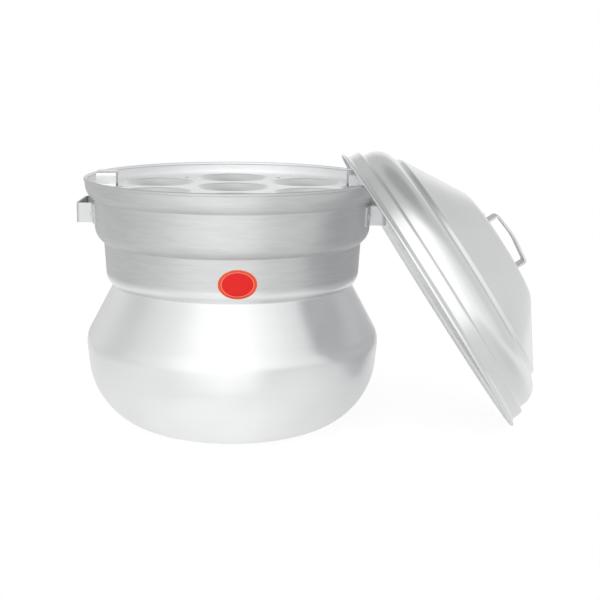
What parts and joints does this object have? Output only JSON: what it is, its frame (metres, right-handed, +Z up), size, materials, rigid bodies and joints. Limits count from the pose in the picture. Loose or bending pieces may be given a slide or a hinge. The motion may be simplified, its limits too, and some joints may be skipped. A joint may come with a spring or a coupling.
{
  "type": "idli maker",
  "caption": "Stepped aluminium steaming pot with seats for lift-out cupped idli plates, strip handles and a domed lid leaning on its rim.",
  "frame": {"origin": "middle of the pot's flat base, on the table", "axes": "+Z up along the pot's axis, +X to the side where the lid leans, -Y to the front"},
  "size_m": [0.475, 0.3359, 0.2872],
  "materials": {
    "spun_sheet": "satin spun",
    "strip": "bright",
    "rivet": "bright",
    "label": "gloss paper"
  },
  "bodies": {
    "pot": {"pot_body": "spun_sheet", "front_label": "label", "side_handle_left": "strip", "side_handle_right": "strip", "side_rivets_left": "rivet", "side_rivets_right": "rivet"},
    "lower_tray": {"plate_lower": "spun_sheet", "lower_handle_left": "strip", "lower_handle_right": "strip", "lower_plate_rivets": "rivet"},
    "middle_tray": {"plate_middle": "spun_sheet", "middle_handle_left": "strip", "middle_handle_right": "strip", "middle_plate_rivets": "rivet"},
    "upper_tray": {"plate_upper": "spun_sheet", "upper_handle_left": "strip", "upper_handle_right": "strip", "upper_plate_rivets": "rivet"},
    "lid": {"lid_shell": "spun_sheet", "lid_handle": "strip", "lid_rivets": "rivet"}
  },
  "joints": [
    {"name": "lower_tray_lift", "type": "slide", "parent": "pot", "child": "lower_tray", "axis": [0, 0, 1], "range_m": [0, 0.16]},
    {"name": "middle_tray_lift", "type": "slide", "parent": "lower_tray", "child": "middle_tray", "axis": [0, 0, 1], "range_m": [0, 0.12]},
    {"name": "upper_tray_lift", "type": "slide", "parent": "middle_tray", "child": "upper_tray", "axis": [0, 0, 1], "range_m": [0, 0.08]},
    {"name": "lid_away", "type": "slide", "parent": "upper_tray", "child": "lid", "axis": [0.8439, 0.0147, 0.5363], "range_m": [0, 0.25]}
  ]
}
